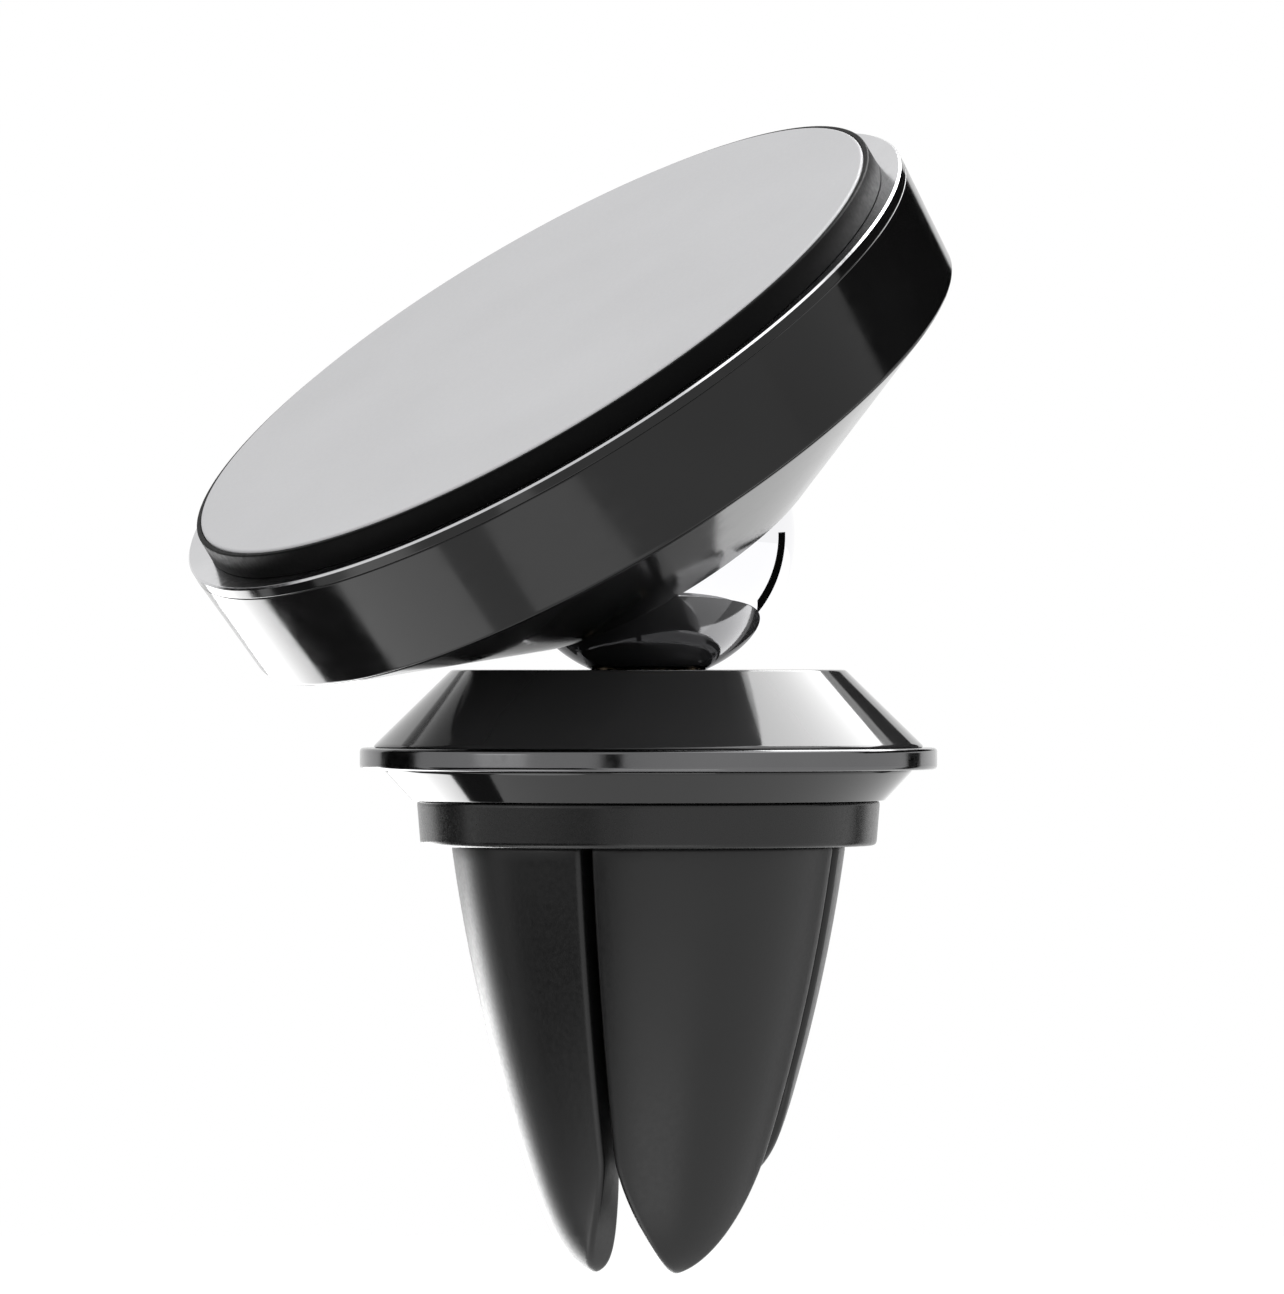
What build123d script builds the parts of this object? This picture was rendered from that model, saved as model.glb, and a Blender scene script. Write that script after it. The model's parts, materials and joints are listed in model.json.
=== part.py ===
from build123d import *
from math import cos, radians, sin, sqrt
import os

os.makedirs("parts", exist_ok=True)

# Magnetic phone mount for a car's air vent: a round magnetic head on a polished ball, a double-cone
# base with a polished flange, and a rubber clip of four fingers that closes on a louvre blade.
#
# Frame: origin on the clip's axis at the underside of its collar, where a louvre blade stops.
# +Z runs up through the base to the ball. -Y is the side that the face looks towards.
# Units are millimetres and degrees.

# ---------------------------------------------------------------- fits and clearances
running_gap = 0.06      # radial play where one piece turns in another
axial_gap = 0.05        # end play of a turning piece
seat_gap = 0.03         # radial play of pieces that only sit together
swing_gap = 0.35        # room between a moving finger and the hub above it

# ---------------------------------------------------------------- base
collar_h = 2.3
collar_bottom_r = 11.7
collar_top_r = 11.9
collar_wall = 1.2
skirt_h = 0.45         # collar below the clip's hub, round the fingers' roots
lower_h = 1.6
lower_bottom_r = 12.1
lower_top_r = 13.6
floor_t = 1.0
flange_h = 1.1
flange_r = 14.8
flange_edge = 0.25
cone_h = 4.0
cone_bottom_r = 14.2
cone_top_r = 10.1
cone_edge = 0.3
ceiling_t = 1.7
spigot_step = 0.5       # lower cone's foot outside the spigot
spigot_wall = 1.4

# ---------------------------------------------------------------- ball and its stud
ball_r = 7.5
dish_depth = 0.6        # ball's foot below the cone's top
dish_gap = 0.12         # between the ball and the dish it turns in
stud_r = 2.0
stud_depth = 4.0        # stud inside the ball
bushing_wall = 0.9
bushing_flange_r = 4.2
bushing_flange_t = 0.5
bushing_h = 1.8
nut_flats = 7.0
nut_h = 1.6
hex_sides = 6
spring_r = 3.9
spring_t = 0.25
spring_cone = 0.3       # height of the disc spring's cone
spring_play = 0.18      # between the spring's bore and the stud

# ---------------------------------------------------------------- small screws
screw_r = 0.95
screw_play = 0.15
screw_head_r = 1.7
screw_head_h = 0.9
screw_key_r = 0.65
screw_key_depth = 0.5
screw_grip = 3.0        # thread held in a boss
thread_play = 0.03
boss_wall = 1.1
boss_gap = 0.45         # between a boss and what stands beside it
sink_play = 0.15        # round a screw's head

# ---------------------------------------------------------------- clip
slot_azimuth = 251.5    # the clip's front slot, counted from +X
slot_w = 0.4
finger_count = 4
root_gap = 0.4          # collar's skirt round the fingers' roots
finger_tip_r = 4.4
finger_bulge = 0.69     # rise of the finger's outer arc over its chord
arc_margin = 0.3        # long finger's tip below that arc
finger_wall = 2.4
long_finger = 21.8
short_finger = 17.4
leaf_tip_h = 4.0        # height over which a finger narrows to its tip
core_depth = 0.8        # rubber over the core's outer face
core_t = 0.9
core_w = 5.2
core_end = 2.5          # rubber beyond the core's end
hinge_rise = 0.85       # finger's hinge above the hub's underside
knuckle_r = 0.7
knuckle_w = 4.4
neck_t = 0.8
neck_play = 0.15        # each side of the neck, for its swing
hub_boss_r = 4.0
hub_boss_h = 1.2
hub_boss_draft = 20
register_r = 3.0
register_h = 0.8

# ---------------------------------------------------------------- head
lean_angle = 34.5       # tilt of the head's axis from +Z as stored
lean_heading = 209.0    # compass direction of that tilt, counted from +X
head_margin = 3.7       # head's edge beyond its magnets
side_draft = 0.4        # taper of the head's side
side_h = 7.5            # face to the foot of the tapered side
shell_wall = 1.2
back_wall = 1.4
mouth_drop = 1.0        # the socket's mouth beyond the ball's centre
mouth_wall = 0.6
cup_wall = 0.95
cup_crown = 1.2         # ball's crown above the cup
cup_flange_w = 1.0
cup_flange_t = 1.0
tower_wall = 1.5
retainer_t = 1.0
retainer_w = 1.2        # retainer beyond the cup's flange
crown_gap = 0.4
yoke_t = 0.9
magnet_r = 4.0
magnet_t = 2.5
magnet_count = 6
magnet_cover = 0.2
plate_t = 0.6
film_t = 0.1
pad_t = 0.6
pad_edge = 0.15
bezel_w = 1.2           # bezel seen outside the rim
rim_w = 0.3             # black rim seen round the pad
rim_drop = 0.1          # rim below the face
rim_h = 1.35
rim_seat_w = 0.75
bezel_h = 0.45
bezel_rise = 0.15       # bezel's outer edge above its inner edge
bezel_skirt_h = 1.1
bezel_skirt_wall = 0.8
bezel_edge = 0.1
carrier_play = 0.3
head_screw_count = 3

# ---------------------------------------------------------------- levels and shared radii
lower_z = collar_h
flange_z = lower_z + lower_h
cone_z = flange_z + flange_h
top_z = cone_z + cone_h
floor_z = lower_z + floor_t
ceiling_z = top_z - ceiling_t
ball_z = top_z - dish_depth + ball_r
ball_centre = Vector(0, 0, ball_z)
spigot_r = lower_bottom_r - spigot_step
hub_r = collar_bottom_r - collar_wall
finger_top_r = hub_r - root_gap
hinge_z = skirt_h + hinge_rise
finger_top = skirt_h - swing_gap
chamber_r = spigot_r - spigot_wall

dish_r = ball_r + dish_gap
bushing_r = stud_r + running_gap + bushing_wall
bushing_top_z = ball_z - dish_r - axial_gap
bushing_z = bushing_top_z - bushing_h
spring_z = bushing_z - bushing_flange_t - spring_t - spring_cone
nut_z = spring_z - axial_gap - nut_h

boss_r = screw_r + thread_play + boss_wall
nut_corner_r = nut_flats / 2 / cos(radians(180 / hex_sides))
clip_screw_circle_r = nut_corner_r + boss_r + boss_gap
clip_sink_z = skirt_h + screw_head_h + sink_play

cup_bore_r = ball_r + running_gap
cup_r = cup_bore_r + cup_wall
cup_top = ball_r - cup_crown
flange_top_r = cup_r + cup_flange_w
retainer_r = flange_top_r + retainer_w
magnet_circle_r = retainer_r + boss_r + boss_gap
head_r = magnet_circle_r + magnet_r + head_margin
back_r = head_r - side_draft
cover_bore_r = cup_r + running_gap
mouth_r = cover_bore_r + mouth_wall
retainer_bottom = cup_top + axial_gap
yoke_bottom = retainer_bottom + retainer_t
carrier_bottom = yoke_bottom + yoke_t
plate_bottom = carrier_bottom + magnet_t + magnet_cover
film_bottom = plate_bottom + plate_t
pad_bottom = film_bottom + film_t
face_w = pad_bottom + pad_t
crown_hole_r = sqrt(ball_r**2 - retainer_bottom**2) + crown_gap

rim_top = face_w - rim_drop
rim_bottom = rim_top - rim_h
bezel_bottom = rim_bottom - bezel_h
side_bottom = face_w - side_h
rim_r = head_r - bezel_w
pad_r = rim_r - rim_w
plate_r = rim_r - rim_seat_w
side_taper = (head_r - back_r) / (bezel_bottom - side_bottom)
skirt_r = head_r - side_taper * bezel_skirt_h - shell_wall - seat_gap
carrier_r = skirt_r - bezel_skirt_wall - carrier_play
yoke_r = back_r + side_taper * (yoke_bottom - side_bottom) - shell_wall - carrier_play

# ---------------------------------------------------------------- planes
lean = radians(lean_angle)
heading = radians(lean_heading)
head_dir = Vector(sin(lean) * cos(heading), sin(lean) * sin(heading), cos(lean))
tilt_dir = Vector(-sin(heading), cos(heading), 0)
head_axis = Axis(ball_centre, head_dir)
head_section = Plane(origin=ball_centre, x_dir=tilt_dir, z_dir=tilt_dir.cross(head_dir))


def head_level(height):
    """Plane across the head's axis, at a height above the ball's centre."""
    return Plane(origin=ball_centre + head_dir * height, x_dir=tilt_dir, z_dir=head_dir)


def slot_level(height):
    """Level plane with its x axis along the clip's front slot."""
    azimuth = radians(slot_azimuth)
    return Plane(origin=(0, 0, height), x_dir=(cos(azimuth), sin(azimuth), 0), z_dir=(0, 0, 1))


pieces = {}

# ================================================================ base
with BuildPart() as upper_housing:
    with BuildSketch(Plane.XZ):
        Polygon(
            (0, floor_z),
            (spigot_r, floor_z),
            (spigot_r, cone_z),
            (cone_bottom_r, cone_z),
            (cone_top_r, top_z),
            (0, top_z),
            align=None,
        )
    revolve(axis=Axis.Z)
    top_edge = upper_housing.edges().filter_by(GeomType.CIRCLE).group_by(Axis.Z)[-1]
    fillet(top_edge, cone_edge)
    with BuildSketch(Plane.XY.offset(floor_z)):
        Circle(chamber_r)
        Circle(bushing_flange_r, mode=Mode.SUBTRACT)
        with PolarLocations(clip_screw_circle_r, finger_count, slot_azimuth):
            Circle(boss_r, mode=Mode.SUBTRACT)
    extrude(amount=ceiling_z - floor_z, mode=Mode.SUBTRACT)
    with BuildSketch(Plane.XY.offset(floor_z)):
        Circle(bushing_flange_r)
    extrude(amount=bushing_z - floor_z, mode=Mode.SUBTRACT)
    with Locations(ball_centre):
        Sphere(dish_r, mode=Mode.SUBTRACT)
    with BuildSketch(Plane.XY.offset(floor_z)):
        Circle(bushing_r + seat_gap)
    extrude(amount=top_z - floor_z, mode=Mode.SUBTRACT)
    with BuildSketch(Plane.XY.offset(floor_z)):
        with PolarLocations(clip_screw_circle_r, finger_count, slot_azimuth):
            Circle(screw_r + thread_play)
    extrude(amount=screw_grip + axial_gap, mode=Mode.SUBTRACT)
pieces["upper_housing"] = upper_housing

with BuildPart() as flange_ring:
    with BuildSketch(Plane.XY.offset(flange_z)):
        Circle(flange_r)
        Circle(spigot_r + seat_gap, mode=Mode.SUBTRACT)
    extrude(amount=flange_h)
    rim_edges = flange_ring.faces().filter_by(GeomType.CYLINDER).sort_by(SortBy.AREA)[-1].edges()
    fillet(rim_edges.filter_by(GeomType.CIRCLE), flange_edge)
pieces["flange_ring"] = flange_ring

with BuildPart() as lower_housing:
    with BuildSketch(Plane.XZ):
        Polygon(
            (register_r + seat_gap, lower_z),
            (lower_bottom_r, lower_z),
            (lower_top_r, flange_z),
            (spigot_r + seat_gap, flange_z),
            (spigot_r + seat_gap, floor_z),
            (register_r + seat_gap, floor_z),
            align=None,
        )
    revolve(axis=Axis.Z)
    with BuildSketch(Plane.XY.offset(lower_z)):
        with PolarLocations(clip_screw_circle_r, finger_count, slot_azimuth):
            Circle(screw_r + screw_play)
    extrude(amount=floor_t, mode=Mode.SUBTRACT)
pieces["lower_housing"] = lower_housing

with BuildPart() as clip_collar:
    with BuildSketch(Plane.XZ):
        Polygon(
            (hub_r, 0),
            (collar_bottom_r, 0),
            (collar_top_r, collar_h),
            (hub_r, collar_h),
            align=None,
        )
    revolve(axis=Axis.Z)
    outer_edges = clip_collar.faces().filter_by(GeomType.CONE).edges().filter_by(GeomType.CIRCLE)
    fillet(outer_edges, flange_edge)
pieces["clip_collar"] = clip_collar

with BuildPart() as swivel_bushing:
    with BuildSketch(Plane.XY.offset(bushing_z)):
        Circle(bushing_r)
        Circle(stud_r + running_gap, mode=Mode.SUBTRACT)
    extrude(amount=bushing_h)
    with BuildSketch(Plane.XY.offset(bushing_z)):
        Circle(bushing_flange_r - seat_gap)
        Circle(stud_r + running_gap, mode=Mode.SUBTRACT)
    extrude(amount=-bushing_flange_t)
pieces["swivel_bushing"] = swivel_bushing

with BuildPart() as disc_spring:
    with BuildSketch(Plane.XZ):
        Polygon(
            (stud_r + spring_play, spring_z + spring_cone),
            (spring_r, spring_z),
            (spring_r, spring_z + spring_t),
            (stud_r + spring_play, spring_z + spring_cone + spring_t),
            align=None,
        )
    revolve(axis=Axis.Z)
pieces["disc_spring"] = disc_spring

with BuildPart() as clip_screws:
    with BuildSketch(slot_level(clip_sink_z)):
        with PolarLocations(clip_screw_circle_r, finger_count):
            Circle(screw_r)
    extrude(amount=floor_z + screw_grip - clip_sink_z)
    with BuildSketch(slot_level(clip_sink_z)):
        with PolarLocations(clip_screw_circle_r, finger_count):
            Circle(screw_head_r)
    extrude(amount=-screw_head_h)
    with BuildSketch(slot_level(clip_sink_z - screw_head_h)):
        with PolarLocations(clip_screw_circle_r, finger_count):
            RegularPolygon(screw_key_r, hex_sides)
    extrude(amount=screw_key_depth, mode=Mode.SUBTRACT)
pieces["clip_screws"] = clip_screws

# ================================================================ ball
with BuildPart() as pivot_ball:
    with Locations(ball_centre):
        Sphere(ball_r)
    with BuildSketch(Plane.XY.offset(ball_z - ball_r)):
        Circle(stud_r)
    extrude(amount=stud_depth, mode=Mode.SUBTRACT)
pieces["pivot_ball"] = pivot_ball

with BuildPart() as ball_stud:
    with BuildSketch(Plane.XY.offset(nut_z)):
        Circle(stud_r)
    extrude(amount=ball_z - ball_r + stud_depth - nut_z)
    chamfer(ball_stud.edges().sort_by(Axis.Z)[0], screw_play)
pieces["ball_stud"] = ball_stud

with BuildPart() as stud_nut:
    with BuildSketch(Plane.XY.offset(nut_z)):
        RegularPolygon(nut_flats / 2, hex_sides, major_radius=False)
        Circle(stud_r, mode=Mode.SUBTRACT)
    extrude(amount=nut_h)
pieces["stud_nut"] = stud_nut

# ================================================================ socket
with BuildPart() as socket_cup:
    with BuildSketch(head_section):
        Polygon(
            (0, -mouth_drop),
            (cup_r, -mouth_drop),
            (cup_r, cup_top - cup_flange_t),
            (flange_top_r, cup_top - cup_flange_t),
            (flange_top_r, cup_top),
            (0, cup_top),
            align=None,
        )
    revolve(axis=head_axis)
    with Locations(ball_centre):
        Sphere(cup_bore_r, mode=Mode.SUBTRACT)
pieces["socket_cup"] = socket_cup

# ================================================================ head
back_slope = (side_bottom + mouth_drop) / (back_r - mouth_r)
back_wall_rise = back_wall * sqrt(1 + back_slope**2)


def back_height(radius):
    """Height of the back's outer cone at a radius."""
    return -mouth_drop + back_slope * (radius - mouth_r)


spigot_out_r = back_r - shell_wall - seat_gap
spigot_in_r = spigot_out_r - shell_wall
tower_r = cover_bore_r + tower_wall
tower_top = cup_top - cup_flange_t - axial_gap
head_screw_start = 180 / magnet_count

with BuildPart() as back_cover:
    with BuildSketch(head_level(-mouth_drop)):
        with PolarLocations(magnet_circle_r, head_screw_count, head_screw_start):
            Circle(boss_r)
    extrude(amount=yoke_bottom + mouth_drop)
    with BuildSketch(head_section):
        Polygon(
            (mouth_r, -mouth_drop),
            (back_r, -mouth_drop),
            (back_r, side_bottom),
            align=None,
        )
    revolve(axis=head_axis, mode=Mode.SUBTRACT)
    with BuildSketch(head_section):
        Polygon(
            (cover_bore_r, -mouth_drop),
            (mouth_r, -mouth_drop),
            (back_r, side_bottom),
            (spigot_out_r, side_bottom),
            (spigot_out_r, side_bottom + shell_wall),
            (spigot_in_r, side_bottom + shell_wall),
            (spigot_in_r, back_height(spigot_in_r) + back_wall_rise),
            (tower_r, back_height(tower_r) + back_wall_rise),
            (tower_r, tower_top),
            (cover_bore_r, tower_top),
            align=None,
        )
    revolve(axis=head_axis)
    with BuildSketch(head_level(yoke_bottom)):
        with PolarLocations(magnet_circle_r, head_screw_count, head_screw_start):
            Circle(screw_r + thread_play)
    extrude(amount=-screw_grip - axial_gap, mode=Mode.SUBTRACT)
pieces["back_cover"] = back_cover

with BuildPart() as head_shell:
    with BuildSketch(head_section):
        Polygon(
            (back_r - shell_wall, side_bottom),
            (back_r, side_bottom),
            (head_r, bezel_bottom),
            (head_r - shell_wall, bezel_bottom),
            align=None,
        )
    revolve(axis=head_axis)
pieces["head_shell"] = head_shell

with BuildPart() as bezel_ring:
    with BuildSketch(head_section):
        Polygon(
            (plate_r, bezel_bottom),
            (skirt_r - bezel_skirt_wall, bezel_bottom - bezel_skirt_h),
            (skirt_r, bezel_bottom - bezel_skirt_h),
            (skirt_r, bezel_bottom),
            (head_r, bezel_bottom),
            (head_r, rim_bottom + bezel_rise),
            (rim_r, rim_bottom),
            (plate_r, rim_bottom),
            align=None,
        )
    revolve(axis=head_axis)
    outer_edge = bezel_ring.edges().filter_by(GeomType.CIRCLE).sort_by(SortBy.LENGTH)[-2:]
    chamfer(outer_edge, bezel_edge)
pieces["bezel_ring"] = bezel_ring

with BuildPart() as rim_ring:
    with BuildSketch(head_section):
        Polygon(
            (plate_r + seat_gap, rim_bottom),
            (rim_r, rim_bottom),
            (rim_r, rim_top),
            (pad_r + seat_gap, rim_top),
            (pad_r + seat_gap, pad_bottom),
            (plate_r + seat_gap, pad_bottom),
            align=None,
        )
    revolve(axis=head_axis)
pieces["rim_ring"] = rim_ring

with BuildPart() as face_pad:
    with BuildSketch(head_level(pad_bottom)):
        Circle(pad_r)
    extrude(amount=pad_t)
    fillet(face_pad.faces().sort_by(head_axis)[-1].edges(), pad_edge)
pieces["face_pad"] = face_pad

with BuildPart() as pad_adhesive:
    with BuildSketch(head_level(film_bottom)):
        Circle(plate_r)
    extrude(amount=film_t)
pieces["pad_adhesive"] = pad_adhesive

with BuildPart() as front_plate:
    with BuildSketch(head_level(plate_bottom)):
        Circle(plate_r)
    extrude(amount=plate_t)
pieces["front_plate"] = front_plate

with BuildPart() as magnet_carrier:
    with BuildSketch(head_level(carrier_bottom)):
        Circle(carrier_r)
    extrude(amount=magnet_t + magnet_cover)
    with BuildSketch(head_level(carrier_bottom)):
        with PolarLocations(magnet_circle_r, magnet_count):
            Circle(magnet_r + seat_gap)
    extrude(amount=magnet_t, mode=Mode.SUBTRACT)
    with BuildSketch(head_level(carrier_bottom)):
        with PolarLocations(magnet_circle_r, head_screw_count, head_screw_start):
            Circle(screw_r + screw_play)
    extrude(amount=magnet_t, mode=Mode.SUBTRACT)
    with BuildSketch(head_level(plate_bottom)):
        with PolarLocations(magnet_circle_r, head_screw_count, head_screw_start):
            Circle(screw_head_r + sink_play)
    extrude(amount=-screw_head_h - sink_play, mode=Mode.SUBTRACT)
pieces["magnet_carrier"] = magnet_carrier

with BuildPart() as magnets:
    with BuildSketch(head_level(carrier_bottom)):
        with PolarLocations(magnet_circle_r, magnet_count):
            Circle(magnet_r)
    extrude(amount=magnet_t)
pieces["magnets"] = magnets

with BuildPart() as steel_yoke:
    with BuildSketch(head_level(yoke_bottom)):
        Circle(yoke_r)
        Circle(crown_hole_r, mode=Mode.SUBTRACT)
        with PolarLocations(magnet_circle_r, head_screw_count, head_screw_start):
            Circle(screw_r + screw_play, mode=Mode.SUBTRACT)
    extrude(amount=yoke_t)
pieces["steel_yoke"] = steel_yoke

with BuildPart() as retainer_ring:
    with BuildSketch(head_section):
        Polygon(
            (crown_hole_r, retainer_bottom),
            (flange_top_r + running_gap, retainer_bottom),
            (flange_top_r + running_gap, tower_top),
            (retainer_r, tower_top),
            (retainer_r, yoke_bottom),
            (crown_hole_r, yoke_bottom),
            align=None,
        )
    revolve(axis=head_axis)
pieces["retainer_ring"] = retainer_ring

with BuildPart() as head_screws:
    with BuildSketch(head_level(plate_bottom - sink_play)):
        with PolarLocations(magnet_circle_r, head_screw_count, head_screw_start):
            Circle(screw_head_r)
    extrude(amount=-screw_head_h)
    with BuildSketch(head_level(plate_bottom - sink_play - screw_head_h)):
        with PolarLocations(magnet_circle_r, head_screw_count, head_screw_start):
            Circle(screw_r)
    extrude(amount=yoke_bottom - screw_grip - plate_bottom + sink_play + screw_head_h)
    with BuildSketch(head_level(plate_bottom - sink_play)):
        with PolarLocations(magnet_circle_r, head_screw_count, head_screw_start):
            RegularPolygon(screw_key_r, hex_sides)
    extrude(amount=-screw_key_depth, mode=Mode.SUBTRACT)
pieces["head_screws"] = head_screws

# ================================================================ clip
quarter = 360 / finger_count
finger_azimuths = [slot_azimuth + quarter * (i + 0.5) for i in range(finger_count)]
finger_lengths = [long_finger, short_finger, short_finger, long_finger]
hinge_r = finger_top_r - core_depth - core_t / 2
chord = Vector(finger_tip_r - finger_top_r, arc_margin - long_finger, 0)
arc_r = chord.length**2 / (8 * finger_bulge) + finger_bulge / 2
chord_normal = Vector(-chord.Y, chord.X, 0).normalized()
arc_centre = Vector(finger_top_r, 0, 0) + chord * 0.5 - chord_normal * (arc_r - finger_bulge)


def arc_radius(height):
    """Radius of the clip's outer arc at a height."""
    return arc_centre.X + sqrt(arc_r**2 - (height - arc_centre.Y) ** 2)


def mid_plane(azimuth):
    """Upright plane through the clip's axis; x runs outwards along the azimuth."""
    angle = radians(azimuth)
    return Plane(origin=(0, 0, 0), x_dir=(cos(angle), sin(angle), 0), z_dir=(sin(angle), -cos(angle), 0))


def face_plane(azimuth):
    """Upright plane through the clip's axis, square to the azimuth; y runs up."""
    angle = radians(azimuth)
    return Plane(origin=(0, 0, 0), x_dir=(-sin(angle), cos(angle), 0), z_dir=(cos(angle), sin(angle), 0))


def quarter_plane(azimuth):
    """Level plane whose axes run along the two slots beside a finger."""
    angle = radians(azimuth - quarter / 2)
    return Plane(origin=(0, 0, 0), x_dir=(cos(angle), sin(angle), 0), z_dir=(0, 0, 1))


def shell_section(azimuth, outer_depth, inner_depth, top, bottom):
    """Section of a curved strip that lies between two depths under the clip's outer arc."""
    middle = (top + bottom) / 2
    with BuildSketch(mid_plane(azimuth)) as section:
        with BuildLine():
            outer = ThreePointArc(
                (arc_radius(top) - outer_depth, top),
                (arc_radius(middle) - outer_depth, middle),
                (arc_radius(bottom) - outer_depth, bottom),
            )
            inner = ThreePointArc(
                (arc_radius(top) - inner_depth, top),
                (arc_radius(middle) - inner_depth, middle),
                (arc_radius(bottom) - inner_depth, bottom),
            )
            Line(outer @ 0, inner @ 0)
            Line(outer @ 1, inner @ 1)
        make_face()
    return section.sketch


with BuildPart() as clip_hub:
    with BuildSketch(Plane.XY.offset(skirt_h)):
        Circle(hub_r - seat_gap)
    extrude(amount=collar_h - skirt_h)
    with BuildSketch(Plane.XY.offset(collar_h)):
        Circle(register_r)
    extrude(amount=register_h)
    with BuildSketch(Plane.XY.offset(skirt_h)):
        Circle(hub_boss_r)
    extrude(amount=-hub_boss_h, taper=hub_boss_draft)
    with BuildSketch(Plane.XY.offset(skirt_h)):
        with PolarLocations(clip_screw_circle_r, finger_count, slot_azimuth):
            Circle(screw_r + screw_play)
    extrude(amount=collar_h - skirt_h, mode=Mode.SUBTRACT)
    with BuildSketch(Plane.XY.offset(clip_sink_z)):
        with PolarLocations(clip_screw_circle_r, finger_count, slot_azimuth):
            Circle(screw_head_r + sink_play)
    extrude(amount=-clip_sink_z, mode=Mode.SUBTRACT)
    for azimuth in finger_azimuths:
        with BuildSketch(mid_plane(azimuth)):
            with Locations((hinge_r, hinge_z)):
                Circle(knuckle_r + running_gap)
                Rectangle(
                    neck_t + 2 * neck_play,
                    hinge_rise + running_gap,
                    align=(Align.CENTER, Align.MAX),
                )
        extrude(amount=knuckle_w / 2 + running_gap, both=True, mode=Mode.SUBTRACT)
pieces["clip_hub"] = clip_hub

for number, (azimuth, length) in enumerate(zip(finger_azimuths, finger_lengths), start=1):
    core_bottom = core_end - length

    with BuildPart() as finger_core:
        add(shell_section(azimuth, core_depth, core_depth + core_t, finger_top - core_depth, core_bottom))
        revolve(axis=Axis.Z)
        with BuildSketch(face_plane(azimuth)):
            with Locations((0, core_bottom + core_w / 2)):
                Circle(core_w / 2)
                Rectangle(core_w, length, align=(Align.CENTER, Align.MIN))
        extrude(amount=finger_top_r, mode=Mode.INTERSECT)
        with BuildSketch(mid_plane(azimuth)):
            with Locations((hinge_r, hinge_z)):
                Circle(knuckle_r)
                Rectangle(
                    neck_t,
                    hinge_z - finger_top + core_depth + core_t,
                    align=(Align.CENTER, Align.MAX),
                )
        extrude(amount=knuckle_w / 2, both=True)
    pieces[f"finger_core_{number}"] = finger_core

    with BuildPart() as finger_sleeve:
        add(shell_section(azimuth, 0, finger_wall, finger_top, -length))
        revolve(axis=Axis.Z)
        with BuildSketch(quarter_plane(azimuth)):
            with Locations((slot_w / 2, slot_w / 2)):
                Rectangle(finger_top_r, finger_top_r, align=(Align.MIN, Align.MIN))
        extrude(amount=length, both=True, mode=Mode.INTERSECT)
        leaf_top = leaf_tip_h - length
        leaf_w = arc_radius(leaf_top) * sin(radians(quarter / 2))
        with BuildSketch(face_plane(azimuth)):
            with BuildLine():
                Bezier((-leaf_w, leaf_top), (0, leaf_top - 2 * leaf_tip_h), (leaf_w, leaf_top))
                Polyline(
                    (leaf_w, leaf_top),
                    (finger_top_r, leaf_top),
                    (finger_top_r, skirt_h),
                    (-finger_top_r, skirt_h),
                    (-finger_top_r, leaf_top),
                    (-leaf_w, leaf_top),
                )
            make_face()
        extrude(amount=finger_top_r + finger_bulge, mode=Mode.INTERSECT)
        add(finger_core.part, mode=Mode.SUBTRACT)
    pieces[f"finger_sleeve_{number}"] = finger_sleeve

# ================================================================ export
for label, piece in pieces.items():
    piece.part.label = label
    export_step(piece.part, f"parts/{label}.step")
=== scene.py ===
import json
from math import asin, cos, pi, radians, sin, sqrt, tan

import bmesh
import bpy
from mathutils import Matrix, Vector


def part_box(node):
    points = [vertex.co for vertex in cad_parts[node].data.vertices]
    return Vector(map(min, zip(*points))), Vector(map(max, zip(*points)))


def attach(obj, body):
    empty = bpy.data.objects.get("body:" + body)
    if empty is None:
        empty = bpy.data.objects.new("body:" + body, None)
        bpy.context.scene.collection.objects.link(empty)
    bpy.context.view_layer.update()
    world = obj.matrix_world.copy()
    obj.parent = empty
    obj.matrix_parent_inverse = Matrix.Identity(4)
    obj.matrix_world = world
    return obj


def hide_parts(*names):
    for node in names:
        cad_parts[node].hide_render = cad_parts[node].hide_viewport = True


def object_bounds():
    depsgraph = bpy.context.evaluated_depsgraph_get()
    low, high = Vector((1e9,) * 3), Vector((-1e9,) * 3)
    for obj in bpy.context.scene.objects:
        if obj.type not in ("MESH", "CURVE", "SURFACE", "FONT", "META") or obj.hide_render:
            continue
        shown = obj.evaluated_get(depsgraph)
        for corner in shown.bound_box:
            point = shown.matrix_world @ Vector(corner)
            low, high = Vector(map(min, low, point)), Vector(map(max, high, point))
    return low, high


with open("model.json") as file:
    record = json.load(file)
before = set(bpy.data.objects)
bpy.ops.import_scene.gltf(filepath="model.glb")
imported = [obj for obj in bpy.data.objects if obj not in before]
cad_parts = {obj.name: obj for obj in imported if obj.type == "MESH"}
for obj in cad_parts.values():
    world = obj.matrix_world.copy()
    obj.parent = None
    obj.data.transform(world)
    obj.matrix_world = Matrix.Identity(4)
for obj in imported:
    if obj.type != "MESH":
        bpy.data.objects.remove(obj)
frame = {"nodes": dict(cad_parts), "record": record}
cad_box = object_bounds()

MM = 0.001
SCENE = bpy.context.scene
NODES = frame["nodes"]
JOINTS = {joint["name"]: joint for joint in frame["record"]["behaviour"]["joints"]}

# ------------------------------------------------------------------ places taken from the frame
BALL_CENTRE = Vector(JOINTS["head_spin"]["pos_m"])      # metres
HEAD_AXIS = Vector(JOINTS["head_spin"]["axis"]).normalized()
UP = Vector((0, 0, 1))


def node_height(node, end):
    """Lowest (0) or highest (1) level of a node, in mm."""
    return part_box(node)[end][2] / MM


def node_radius(node):
    """Outer radius of an upright round node, in mm."""
    low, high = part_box(node)
    return (high[0] - low[0]) / 2 / MM


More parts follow.
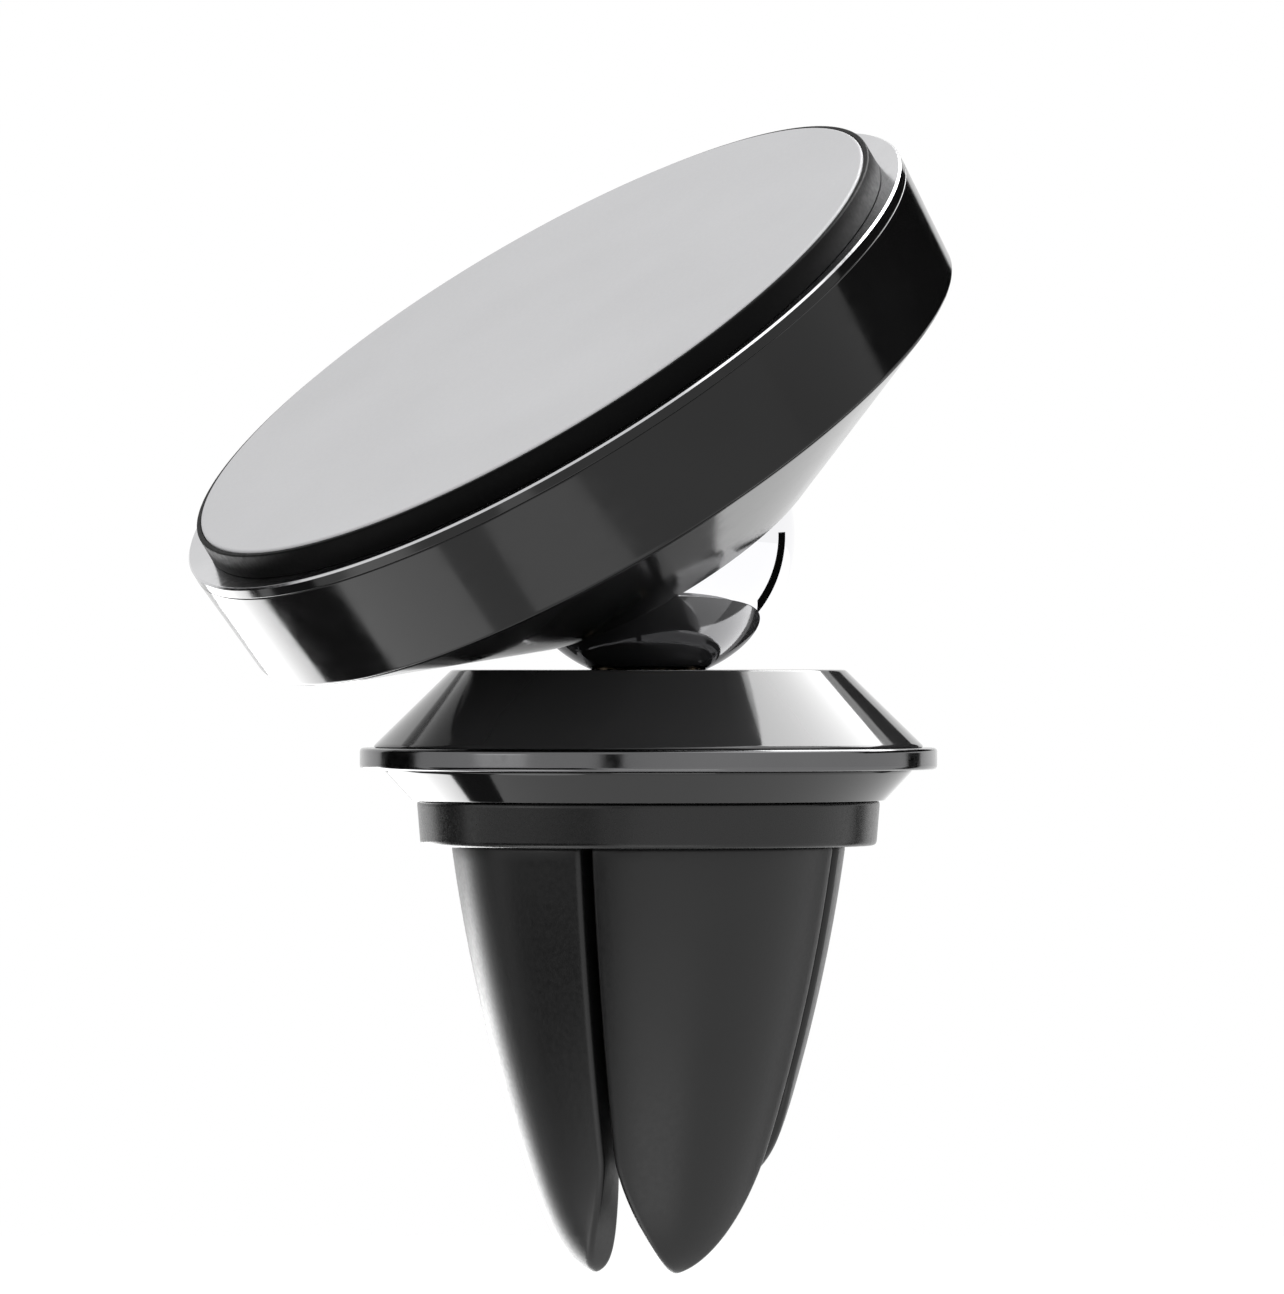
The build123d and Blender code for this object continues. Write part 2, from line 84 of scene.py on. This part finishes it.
# ------------------------------------------------------------------ materials
def new_material(name):
    """New material and its Principled shader."""
    material = bpy.data.materials.new(name)
    material.use_nodes = True
    return material, material.node_tree.nodes["Principled BSDF"]


def object_noise(tree, scale, detail):
    """Noise factor in object space; scale is in features per metre."""
    coords = tree.nodes.new("ShaderNodeTexCoord")
    noise = tree.nodes.new("ShaderNodeTexNoise")
    noise.inputs["Scale"].default_value = scale
    noise.inputs["Detail"].default_value = detail
    tree.links.new(coords.outputs["Object"], noise.inputs["Vector"])
    return noise.outputs["Fac"]


NOISE_LOW = 0.3         # most of a noise's values lie between these two
NOISE_HIGH = 0.7


def ranged(tree, source, low, high):
    """Value that runs from low to high with a noise factor."""
    node = tree.nodes.new("ShaderNodeMapRange")
    node.inputs["From Min"].default_value = NOISE_LOW
    node.inputs["From Max"].default_value = NOISE_HIGH
    node.inputs["To Min"].default_value = low
    node.inputs["To Max"].default_value = high
    tree.links.new(source, node.inputs["Value"])
    return node.outputs["Result"]


def tinted(tree, source, dark, light):
    """Colour that runs from dark to light with a noise factor."""
    ramp = tree.nodes.new("ShaderNodeValToRGB")
    ramp.color_ramp.elements[0].position = NOISE_LOW
    ramp.color_ramp.elements[1].position = NOISE_HIGH
    ramp.color_ramp.elements[0].color = (*dark, 1)
    ramp.color_ramp.elements[1].color = (*light, 1)
    tree.links.new(source, ramp.inputs["Fac"])
    return ramp.outputs["Color"]


def bumped(tree, shader, height, strength, distance):
    """Bump from a height factor; distance is in metres."""
    bump = tree.nodes.new("ShaderNodeBump")
    bump.inputs["Strength"].default_value = strength
    bump.inputs["Distance"].default_value = distance
    tree.links.new(height, bump.inputs["Height"])
    tree.links.new(bump.outputs["Normal"], shader.inputs["Normal"])


CLOUD_SCALE = 90        # slow drift of a material's colour, features per metre
CLOUD_DETAIL = 3
GRAIN_DETAIL = 6


def finish_material(name, dark, light, rough, grain, bump, metallic=0.0, specular=0.5):
    """Material whose colour drifts between two tones, with its own roughness range and fine grain.

    rough is the least and the most roughness; bump is the strength and the distance in metres.
    """
    material, shader = new_material(name)
    tree = material.node_tree
    cloud = object_noise(tree, CLOUD_SCALE, CLOUD_DETAIL)
    fine = object_noise(tree, grain, GRAIN_DETAIL)
    tree.links.new(tinted(tree, cloud, dark, light), shader.inputs["Base Color"])
    tree.links.new(ranged(tree, fine, *rough), shader.inputs["Roughness"])
    bumped(tree, shader, fine, *bump)
    shader.inputs["Metallic"].default_value = metallic
    shader.inputs["Specular IOR Level"].default_value = specular
    return material


def grey(value):
    """Grey with a slightly raised blue."""
    return (value, value, value * 1.02)


GLOSS_BLACK = finish_material("gloss_black", grey(0.004), grey(0.007), (0.05, 0.09), 700, (0.02, 1e-5))
# Painted light: a lighter copy of the gloss black, so the upper cone's top face reads brighter than its
# reflection of the head's dark back leaves it.
CONE_BLACK_PAINTED_LIGHT = finish_material("cone_black_painted_light", grey(0.022), grey(0.028), (0.05, 0.09), 700, (0.02, 1e-5))
SHELL_BLACK = finish_material(
    "shell_black", grey(0.003), grey(0.006),
    (0.07, 0.13), 900, (0.03, 1e-5), specular=0.3,
)
BLACK_CHROME = finish_material(
    "black_chrome", grey(0.11), grey(0.14),
    (0.10, 0.18), 1500, (0.05, 1e-5), 1.0,
)
CHROME = finish_material("mirror_chrome", grey(0.88), grey(0.93), (0.015, 0.035), 400, (0.01, 1e-5), 1.0)
BEZEL = finish_material("turned_bezel", grey(0.50), grey(0.60), (0.12, 0.22), 2600, (0.06, 1e-5), 1.0)
FACE = finish_material(
    "face_silicone", grey(0.44), grey(0.47),
    (0.42, 0.52), 5200, (0.10, 2e-5), specular=0.2,
)
RIM_RUBBER = finish_material(
    "rim_rubber", grey(0.001), grey(0.002),
    (0.42, 0.55), 3800, (0.12, 2e-5), specular=0.05,
)
CLIP_RUBBER = finish_material(
    "clip_rubber", grey(0.005), grey(0.008),
    (0.30, 0.38), 4200, (0.16, 2e-5), specular=0.36,
)
COLLAR_RUBBER = finish_material(
    "collar_rubber", grey(0.004), grey(0.006),
    (0.22, 0.30), 4200, (0.10, 2e-5), specular=0.4,
)
PLASTIC = finish_material("moulded_plastic", grey(0.020), grey(0.030), (0.40, 0.55), 3000, (0.15, 2e-5))
BRASS = finish_material(
    "oiled_brass", (0.16, 0.12, 0.07), (0.24, 0.18, 0.10),
    (0.2, 0.35), 3000, (0.08, 1e-5), 1.0,
)
STEEL = finish_material("machined_steel", grey(0.42), grey(0.55), (0.25, 0.4), 2600, (0.10, 1e-5), 1.0)
NICKEL = finish_material("magnet_nickel", grey(0.62), grey(0.7), (0.12, 0.2), 2000, (0.05, 1e-5), 1.0)
ALUMINIUM = finish_material(
    "plate_aluminium", grey(0.66), grey(0.74),
    (0.25, 0.35), 2600, (0.08, 1e-5), 1.0,
)
FILM = finish_material(
    "adhesive_film", (0.62, 0.58, 0.46), (0.7, 0.66, 0.54),
    (0.4, 0.5), 1500, (0.05, 1e-5),
)

NODE_MATERIALS = {
    "clip_hub": PLASTIC,
    "swivel_bushing": BRASS,
    "disc_spring": STEEL,
    "clip_screws": STEEL,
    "ball_stud": STEEL,
    "stud_nut": STEEL,
    "socket_cup": PLASTIC,
    "front_plate": ALUMINIUM,
    "pad_adhesive": FILM,
    "magnet_carrier": PLASTIC,
    "magnets": NICKEL,
    "steel_yoke": STEEL,
    "retainer_ring": PLASTIC,
    "head_screws": STEEL,
}
FINGERS = range(1, 5)   # the fingers' numbers
for number in FINGERS:
    NODE_MATERIALS[f"finger_core_{number}"] = PLASTIC


# ------------------------------------------------------------------ meshes
CORNER_STEPS = 5
CORNER_SHARE = 0.45     # most of a side that one rounded corner may take
FLAT_HOLD = 0.03        # narrow strip beside a rounded corner that keeps the flat's shading flat, mm
HOLD_SHARE = 0.04       # most of a side that such a strip may take
SHARP_ANGLE = 40        # edges bent more than this are shaded as sharp, degrees
FULL_TURN = 2 * pi
ON_AXIS = 1e-9          # radius below which a point counts as on the axis, mm
MERGE_DISTANCE = 1e-8   # metres


def rounded(outline):
    """Closed outline of (radius, height, corner radius) points in mm, with its corners rounded."""
    points = []
    for index, (radius, height, corner) in enumerate(outline):
        here = Vector((radius, height))
        if corner <= 0:
            points.append(here)
            continue
        before = Vector(outline[index - 1][:2]) - here
        after = Vector(outline[(index + 1) % len(outline)][:2]) - here
        shorter = min(before.length, after.length)
        reach = min(corner / tan(before.angle(after) / 2), CORNER_SHARE * shorter)
        start = here + before.normalized() * reach
        end = here + after.normalized() * reach
        points.append(start + before.normalized() * min(FLAT_HOLD, HOLD_SHARE * before.length))
        for step in range(CORNER_STEPS + 1):
            t = step / CORNER_STEPS
            points.append(start * (1 - t) ** 2 + here * 2 * t * (1 - t) + end * t**2)
        points.append(end + after.normalized() * min(FLAT_HOLD, HOLD_SHARE * after.length))
    return points


def make_object(name, mesh_builder, sharp=SHARP_ANGLE):
    """Object from a bmesh, smooth except at sharp edges."""
    bmesh.ops.remove_doubles(mesh_builder, verts=mesh_builder.verts, dist=MERGE_DISTANCE)
    bmesh.ops.recalc_face_normals(mesh_builder, faces=mesh_builder.faces)
    mesh = bpy.data.meshes.new(name)
    mesh_builder.to_mesh(mesh)
    mesh_builder.free()
    mesh.shade_smooth()
    mesh.set_sharp_from_angle(angle=radians(sharp))
    made = bpy.data.objects.new(name, mesh)
    SCENE.collection.objects.link(made)
    return made


def skinned(name, loops, sharp):
    """Skin over a run of closed loops of equal length, with its ends capped."""
    builder = bmesh.new()
    rings = [[builder.verts.new(point) for point in loop] for loop in loops]
    for low, high in zip(rings, rings[1:]):
        for index in range(len(low)):
            follow = (index + 1) % len(low)
            builder.faces.new((low[index], low[follow], high[follow], high[index]))
    builder.faces.new(rings[0])
    builder.faces.new(rings[-1])
    return make_object(name, builder, sharp)


def turned(name, outline, origin=Vector(), axis=UP, segments=192):
    """Solid of revolution of a rounded outline in mm, about an axis through origin."""
    turn = axis.to_track_quat("Z", "Y").to_matrix().to_4x4()
    place = Matrix.Translation(origin) @ turn
    profile = rounded(outline)
    builder = bmesh.new()
    rings = []
    for segment in range(segments):
        angle = FULL_TURN * segment / segments
        ring = []
        for radius, height in profile:
            ring.append(builder.verts.new(place @ Vector((
                radius * cos(angle) * MM,
                radius * sin(angle) * MM,
                height * MM,
            ))))
        rings.append(ring)
    for segment in range(segments):
        here = rings[segment]
        there = rings[(segment + 1) % segments]
        for index in range(len(profile)):
            follow = (index + 1) % len(profile)
            if profile[index].x < ON_AXIS and profile[follow].x < ON_AXIS:
                continue
            builder.faces.new((here[index], there[index], there[follow], here[follow]))
    return make_object(name, builder)


def place_piece(piece, body, node, material):
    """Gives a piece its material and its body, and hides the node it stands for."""
    piece.data.materials.append(material)
    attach(piece, body)
    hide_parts(node)


# ------------------------------------------------------------------ base (mm)
LOWER_Z = node_height("lower_housing", 0)
FLANGE_Z = node_height("flange_ring", 0)
CONE_Z = node_height("flange_ring", 1)
TOP_Z = node_height("upper_housing", 1)
FLOOR_Z = node_height("upper_housing", 0)
FLANGE_R = node_radius("flange_ring")
CONE_R = node_radius("upper_housing")
LOWER_TOP_R = node_radius("lower_housing")
COLLAR_R = node_radius("clip_collar")
HUB_R = node_radius("clip_hub")
FIT = 0.03              # gap between two pieces that sit one in the other
BALL_R = 7.5
CONE_TOP_R = CONE_R - 4.1
LOWER_BOTTOM_R = LOWER_TOP_R - 1.5
COLLAR_BOTTOM_R = COLLAR_R - 0.19
SPIGOT_R = 11.6         # the flange and the lower cone sit on this spigot
CHAMBER_R = 10.2
DISH_R = BALL_R + 0.12
DISH_STEPS = 16
BORE_R = 3.0            # bore for the ball's stud and its bushing
BOSS_R = 4.2            # boss round the bore, inside the chamber
BOSS_H = 0.9
CEILING_Z = TOP_Z - 1.7


def build_upper_housing():
    """Cone with a dish in its top for the ball and a chamber under it."""
    centre = BALL_CENTRE.z / MM
    outline = [
        (CHAMBER_R, FLOOR_Z, 0.1),
        (SPIGOT_R, FLOOR_Z, 0.1),
        (SPIGOT_R, CONE_Z, 0),
        (CONE_R, CONE_Z, 0.12),
        (CONE_TOP_R, TOP_Z, 0.3),
    ]
    edge_angle = asin((centre - TOP_Z) / DISH_R)
    bore_angle = asin(sqrt(DISH_R**2 - BORE_R**2) / DISH_R)
    for step in range(DISH_STEPS + 1):
        angle = edge_angle + (bore_angle - edge_angle) * step / DISH_STEPS
        corner = 0.08 if step == 0 else 0
        outline.append((DISH_R * cos(angle), centre - DISH_R * sin(angle), corner))
    outline += [
        (BORE_R, CEILING_Z - BOSS_H, 0),
        (BOSS_R, CEILING_Z - BOSS_H, 0.1),
        (BOSS_R, CEILING_Z, 0.2),
        (CHAMBER_R, CEILING_Z, 0.3),
    ]
    # Painted light: the cone takes the lighter copy of the gloss black.
    place_piece(turned("upper_cone", outline), "base", "upper_housing", CONE_BLACK_PAINTED_LIGHT)


def build_flange():
    """Polished ring between the two cones, with rounded edges."""
    outline = [
        (SPIGOT_R + FIT, FLANGE_Z, 0.05),
        (FLANGE_R, FLANGE_Z, 0.22),
        (FLANGE_R, CONE_Z, 0.22),
        (SPIGOT_R + FIT, CONE_Z, 0.05),
    ]
    place_piece(turned("flange_band", outline), "base", "flange_ring", BLACK_CHROME)


def build_lower_housing():
    """Inverse cone under the flange, with its floor."""
    outline = [
        (BORE_R + FIT, LOWER_Z, 0.1),
        (LOWER_BOTTOM_R, LOWER_Z, 0.12),
        (LOWER_TOP_R, FLANGE_Z, 0.1),
        (SPIGOT_R + FIT, FLANGE_Z, 0.05),
        (SPIGOT_R + FIT, FLOOR_Z, 0),
        (BORE_R + FIT, FLOOR_Z, 0.1),
    ]
    place_piece(turned("lower_cone", outline), "base", "lower_housing", GLOSS_BLACK)


def build_collar():
    """Rubber ring round the clip's hub, with soft edges."""
    outline = [
        (HUB_R + FIT, 0, 0.1),
        (COLLAR_BOTTOM_R, 0, 0.28),
        (COLLAR_R, LOWER_Z, 0.22),
        (HUB_R + FIT, LOWER_Z, 0.1),
    ]
    place_piece(turned("collar_band", outline), "base", "clip_collar", COLLAR_RUBBER)


# ------------------------------------------------------------------ ball
BALL_SUBDIVISIONS = 6
SMOOTH_ALL = 180        # no edge is bent more than this, degrees


def build_ball():
    """Ground and polished ball."""
    builder = bmesh.new()
    place = Matrix.Translation(BALL_CENTRE)
    bmesh.ops.create_icosphere(builder, subdivisions=BALL_SUBDIVISIONS, radius=BALL_R * MM, matrix=place)
    ball = make_object("polished_ball", builder, SMOOTH_ALL)
    place_piece(ball, "ball", "pivot_ball", CHROME)


# ------------------------------------------------------------------ head (mm; heights from the ball's centre)
FACE_W = 12.25          # front of the face
HEAD_R = 20.94          # outer edge of the bezel
SHELL_T = 1.2           # wall of the side
BACK_R = HEAD_R - 0.4   # the side narrows a little towards the back
SIDE_W = FACE_W - 7.5   # edge between the side and the back's cone
RIM_R = HEAD_R - 1.2    # outside of the rubber band round the face
PAD_R = RIM_R - 0.3
PAD_T = 0.6
PLATE_R = RIM_R - 0.75  # front plate under the face
RIM_TOP = FACE_W - 0.1
RIM_BOTTOM = RIM_TOP - 1.35
BEZEL_BOTTOM = RIM_BOTTOM - 0.45
SKIRT_R = HEAD_R - 1.31                 # the bezel's skirt fits inside the side
SKIRT_T = 0.8
SKIRT_BOTTOM = BEZEL_BOTTOM - 1.1
CUT_DEPTH = 0.15                        # depth of the bezel's bare metal under its black coat
CUT_LINE = RIM_BOTTOM + 0.05            # lower edge of the bare metal, on the outside
EDGE_R = HEAD_R - 0.1                   # highest point of the bezel's edge
EDGE_W = RIM_BOTTOM + 0.15
MOUTH_W = -1.0                          # the back's mouth, round the ball
COVER_BORE_R = 8.57
MOUTH_R = COVER_BORE_R + 0.6
TOWER_R = COVER_BORE_R + 1.5            # sleeve round the ball's socket, inside the back
TOWER_TOP = 5.25
SPIGOT_OUT = BACK_R - SHELL_T - FIT     # the back's spigot fits inside the side
SPIGOT_T = 1.2
SPIGOT_TOP = SIDE_W + 1.2
BACK_RISE = 1.59                        # height of the back's inner cone above its outer one
BACK_SLOPE = (SIDE_W - MOUTH_W) / (BACK_R - MOUTH_R)
HEAD_SEGMENTS = 256


def cover_inside(radius):
    """Height of the back cover's inner cone at a radius, in mm."""
    return MOUTH_W + BACK_SLOPE * (radius - MOUTH_R) + BACK_RISE


def head_piece(name, outline, node, material):
    """Turned piece on the head's axis."""
    piece = turned(name, outline, BALL_CENTRE, HEAD_AXIS, HEAD_SEGMENTS)
    place_piece(piece, "head", node, material)


def build_head():
    """Visible pieces of the head, from the face to the back."""
    head_piece(
        "face_skin",
        [
            (0, FACE_W - PAD_T, 0),
            (PAD_R, FACE_W - PAD_T, 0.05),
            (PAD_R, FACE_W, 0.16),
            (0, FACE_W, 0),
        ],
        "face_pad", FACE,
    )
    head_piece(
        "rim_band",
        [
            (PLATE_R + FIT, RIM_BOTTOM, 0.05),
            (RIM_R, RIM_BOTTOM, 0.08),
            (RIM_R, RIM_TOP, 0.1),
            (PAD_R + FIT, RIM_TOP, 0.05),
            (PAD_R + FIT, FACE_W - PAD_T, 0),
            (PLATE_R + FIT, FACE_W - PAD_T, 0.05),
        ],
        "rim_ring", RIM_RUBBER,
    )
    head_piece(
        "bezel_band",
        [
            (PLATE_R, BEZEL_BOTTOM, 0),
            (SKIRT_R - SKIRT_T, SKIRT_BOTTOM, 0.05),
            (SKIRT_R, SKIRT_BOTTOM, 0.05),
            (SKIRT_R, BEZEL_BOTTOM, 0),
            (HEAD_R, BEZEL_BOTTOM, 0.05),
            (HEAD_R, CUT_LINE, 0),
            (HEAD_R - CUT_DEPTH, CUT_LINE, 0),
            (HEAD_R - CUT_DEPTH, RIM_BOTTOM - CUT_DEPTH, 0),
            (PLATE_R, RIM_BOTTOM - CUT_DEPTH, 0),
        ],
        "bezel_ring", SHELL_BLACK,
    )
    head_piece(
        "bezel_cut",
        [
            (PLATE_R, RIM_BOTTOM - CUT_DEPTH, 0),
            (HEAD_R - CUT_DEPTH, RIM_BOTTOM - CUT_DEPTH, 0),
            (HEAD_R - CUT_DEPTH, CUT_LINE, 0),
            (HEAD_R, CUT_LINE, 0),
            (EDGE_R, EDGE_W, 0.03),
            (RIM_R, RIM_BOTTOM, 0),
            (PLATE_R, RIM_BOTTOM, 0),
        ],
        "bezel_ring", BEZEL,
    )
    head_piece(
        "side_shell",
        [
            (BACK_R - SHELL_T, SIDE_W, 0.05),
            (BACK_R, SIDE_W, 0.18),
            (HEAD_R, BEZEL_BOTTOM, 0.06),
            (HEAD_R - SHELL_T, BEZEL_BOTTOM, 0.05),
        ],
        "head_shell", SHELL_BLACK,
    )
    spigot_in = SPIGOT_OUT - SPIGOT_T
    head_piece(
        "back_cone",
        [
            (COVER_BORE_R, MOUTH_W, 0.08),
            (MOUTH_R, MOUTH_W, 0.15),
            (BACK_R, SIDE_W, 0.06),
            (SPIGOT_OUT, SIDE_W, 0),
            (SPIGOT_OUT, SPIGOT_TOP, 0.1),
            (spigot_in, SPIGOT_TOP, 0.1),
            (spigot_in, cover_inside(spigot_in), 0.2),
            (TOWER_R, cover_inside(TOWER_R), 0.2),
            (TOWER_R, TOWER_TOP, 0.05),
            (COVER_BORE_R, TOWER_TOP, 0.05),
        ],
        "back_cover", SHELL_BLACK,
    )


# ------------------------------------------------------------------ rubber fingers (mm)
SLOT_AZIMUTH = 251.5    # the slot before finger 1, degrees
QUARTER = 90            # degrees from finger to finger
SLOT_HALF = 0.2         # half the width of a slot
ARC_TOP_R = 10.1        # the fingers' outer face is an arc from this radius
ARC_TIP_R = 4.4         # to this one
ARC_H = 21.5
ARC_RISE = 0.69         # how far the arc bulges from its chord
WALL = 2.4
EDGE_CORNER = 0.3
CORNER_ROOM = 0.9       # most of a half side that an edge's corner may take
EDGE_STEPS = 6
STRIP_STEPS = 24
LEAF_SPAN = 6.0         # height over which a finger narrows to its tip
LEAF_CURVE = 1.6        # the higher, the blunter the tip from the front
TIP_CURVE = 4           # the higher, the blunter the tip from the side
TIP_STEPS = 28
BODY_STEPS = 30
ROOT_ROUNDING = ((0, 0.86), (0.06, 0.93), (0.16, 0.98), (0.32, 1.0))    # depth below the top, share of wall
FINGER_SHARP = 60       # edges bent more than this are shaded as sharp, degrees
CHORD = Vector((ARC_TIP_R - ARC_TOP_R, -ARC_H))
ARC_R = CHORD.length**2 / (8 * ARC_RISE) + ARC_RISE / 2
ARC_MID = Vector((ARC_TOP_R, 0)) + CHORD / 2
ARC_CENTRE = ARC_MID - Vector((-CHORD.y, CHORD.x)).normalized() * (ARC_R - ARC_RISE)


def arc_radius(height):
    """Radius of the clip's outer arc at a height, in mm."""
    return ARC_CENTRE.x + sqrt(ARC_R**2 - (height - ARC_CENTRE.y) ** 2)


def finger_loop(azimuth, height, bottom, wall_share):
    """Cross-section of a finger at a height: a curved strip with rounded long edges."""
    outer = arc_radius(height)
    near_tip = max(bottom + LEAF_SPAN - height, 0) / LEAF_SPAN
    full_limit = asin((outer * sin(radians(QUARTER / 2)) - SLOT_HALF) / outer)
    middle = outer - WALL / 2
    half_arc = full_limit * sqrt(1 - near_tip**LEAF_CURVE) * middle
    half_wall = WALL / 2 * sqrt(1 - near_tip**TIP_CURVE) * wall_share
    corner = min(EDGE_CORNER, half_wall * CORNER_ROOM, half_arc * CORNER_ROOM)
    flat = half_arc - corner
    loop = []

    def point(along, depth):
        radius = middle + depth
        angle = radians(azimuth) + along / middle
        loop.append(Vector((radius * cos(angle), radius * sin(angle), height)) * MM)

    for side, sign in ((half_wall, 1), (-half_wall, -1)):
        for step in range(STRIP_STEPS + 1):
            point(sign * (-flat + 2 * flat * step / STRIP_STEPS), side)
        for step in range(1, EDGE_STEPS):
            turn = pi / 2 * step / EDGE_STEPS
            point(sign * (flat + corner * sin(turn)), side - sign * corner * (1 - cos(turn)))
        point(sign * half_arc, sign * (half_wall - corner))
        point(sign * half_arc, -sign * (half_wall - corner))
        for step in range(1, EDGE_STEPS):
            turn = pi / 2 * (1 - step / EDGE_STEPS)
            point(sign * (flat + corner * sin(turn)), -side + sign * corner * (1 - cos(turn)))
    return loop


def build_finger(number):
    """Silicone sleeve of one finger: a tapering leaf with soft edges."""
    node = f"finger_sleeve_{number}"
    azimuth = SLOT_AZIMUTH + QUARTER * (number - 0.5)
    top = node_height(node, 1)
    bottom = node_height(node, 0)
    loops = []
    for depth, wall_share in ROOT_ROUNDING:
        start = top - depth
        loops.append(finger_loop(azimuth, start, bottom, wall_share))
    leaf_top = bottom + LEAF_SPAN
    for step in range(1, BODY_STEPS + 1):
        height = start + (leaf_top - start) * step / BODY_STEPS
        loops.append(finger_loop(azimuth, height, bottom, 1.0))
    for step in range(1, TIP_STEPS):
        share = sin(pi / 2 * step / TIP_STEPS)
        loops.append(finger_loop(azimuth, leaf_top - LEAF_SPAN * share, bottom, 1.0))
    sleeve = skinned(f"sleeve_{number}", loops, FINGER_SHARP)
    place_piece(sleeve, f"finger_{number}", node, CLIP_RUBBER)


# ------------------------------------------------------------------ studio
REACH = 300             # distance of lamps and cards from the point they face, mm
AIM = Vector((0, 0, 12)) * MM
FLOOR_GAP = 320         # depth of the floor under the clip, mm
FLOOR_HALF = 6.0        # half a side of the floor, metres


def direction(azimuth, elevation):
    """Unit vector at an azimuth counted from the camera's side towards the right, in degrees."""
    a = radians(azimuth)
    e = radians(elevation)
    return Vector((sin(a) * cos(e), -cos(a) * cos(e), sin(e)))


def hang(thing, azimuth, elevation):
    """Places a lamp or a card round the object so that it faces the object."""
    outward = direction(azimuth, elevation)
    thing.location = AIM + outward * REACH * MM
    thing.rotation_mode = "QUATERNION"
    thing.rotation_quaternion = outward.to_track_quat("Z", "Y")


def matt_material(name, value):
    """Plain matt grey for the studio's own surfaces."""
    material, shader = new_material(name)
    shader.inputs["Base Color"].default_value = (value, value, value, 1)
    shader.inputs["Roughness"].default_value = 1.0
    shader.inputs["Specular IOR Level"].default_value = 0.0
    return material


def square(name, half_side):
    """Flat square; half_side is in metres."""
    builder = bmesh.new()
    bmesh.ops.create_grid(builder, x_segments=1, y_segments=1, size=half_side)
    return make_object(name, builder)


def area_light(name, azimuth, elevation, size, radiance, diffuse=False, shape="RECTANGLE"):
    """Soft lamp that faces the object; lengths in mm. Unless diffuse is set, only reflections see it."""
    data = bpy.data.lights.new(name, "AREA")
    data.shape = shape
    data.size = size[0] * MM
    data.size_y = size[1] * MM
    data.energy = radiance * pi * size[0] * size[1] * MM**2
    lamp = bpy.data.objects.new(name, data)
    hang(lamp, azimuth, elevation)
    lamp.visible_diffuse = diffuse
    SCENE.collection.objects.link(lamp)


def black_card(name, azimuth, elevation, size):
    """Dark card that only reflections see: a metre square scaled to size, with lengths in mm."""
    card = square(name, 0.5)
    card.data.materials.append(matt_material(name, 0.002))
    card.scale = (size[0] * MM, size[1] * MM, 1)
    hang(card, azimuth, elevation)
    card.visible_camera = False
    card.visible_shadow = False
    card.visible_diffuse = False


def build_floor():
    """Pale floor well under the clip."""
    floor = square("floor", FLOOR_HALF)
    floor.location.z = cad_box[0][2] - FLOOR_GAP * MM
    floor.data.materials.append(matt_material("pale_floor", 0.95))


def build_studio():
    """White surroundings, the floor, soft lamps and dark cards."""
    world = bpy.data.worlds.new("studio")
    world.use_nodes = True
    background = world.node_tree.nodes["Background"]
    background.inputs["Color"].default_value = (1, 1, 1, 1)
    background.inputs["Strength"].default_value = 1.0
    SCENE.world = world
    SCENE.view_settings.view_transform = "Standard"
    build_floor()

    area_light("right_back", 140, 50, (250, 220), 7.5)
    area_light("left_back", -156, -27, (230, 190), 5.5)
    for width in (70, 130, 190):
        area_light(f"under_left_{width}", -71, -56, (width, 0.7 * width), 1.3, shape="ELLIPSE")
    area_light("under_front", 8, -44, (200, 100), 1.2)
    area_light("left_strip", -60, 2, (120, 34), 2.0)
    area_light("face_key", 70, 50, (200, 200), 1.6, True)
    black_card("right_side", 130, -12, (70, 150))
    black_card("right_upper", 127, 17, (390, 105))
    black_card("left_low", -60, -24, (430, 130))
    black_card("left_side", -118, -4, (150, 290))
    black_card("left_under", -116, -43, (130, 110))
    black_card("front_strip", -14, 0, (42, 110))

    data = bpy.data.lights.new("sky_lift", "SUN")
    data.energy = 0.5
    data.angle = radians(40)
    lamp = bpy.data.objects.new("sky_lift", data)
    hang(lamp, 30, 70)
    SCENE.collection.objects.link(lamp)


CAMERA_BACK = 564       # distance from the base's axis, mm
CAMERA_ASIDE = -0.33
CAMERA_BELOW_BALL = 5.74
FOCAL_LENGTH = 306
SENSOR_WIDTH = 36


def build_camera():
    """Level camera in front of the object, on a long lens."""
    data = bpy.data.cameras.new("camera")
    data.lens = FOCAL_LENGTH
    data.sensor_width = SENSOR_WIDTH
    data.clip_start = 0.01
    data.clip_end = 20
    camera = bpy.data.objects.new("camera", data)
    camera.location = (CAMERA_ASIDE * MM, -CAMERA_BACK * MM, BALL_CENTRE.z - CAMERA_BELOW_BALL * MM)
    camera.rotation_euler = (radians(90), 0, 0)
    SCENE.collection.objects.link(camera)
    SCENE.camera = camera


# ------------------------------------------------------------------ build
for node, material in NODE_MATERIALS.items():
    for slot in NODES[node].material_slots:
        slot.material = material

build_upper_housing()
build_flange()
build_lower_housing()
build_collar()
build_ball()
build_head()
for number in FINGERS:
    build_finger(number)
build_studio()
build_camera()
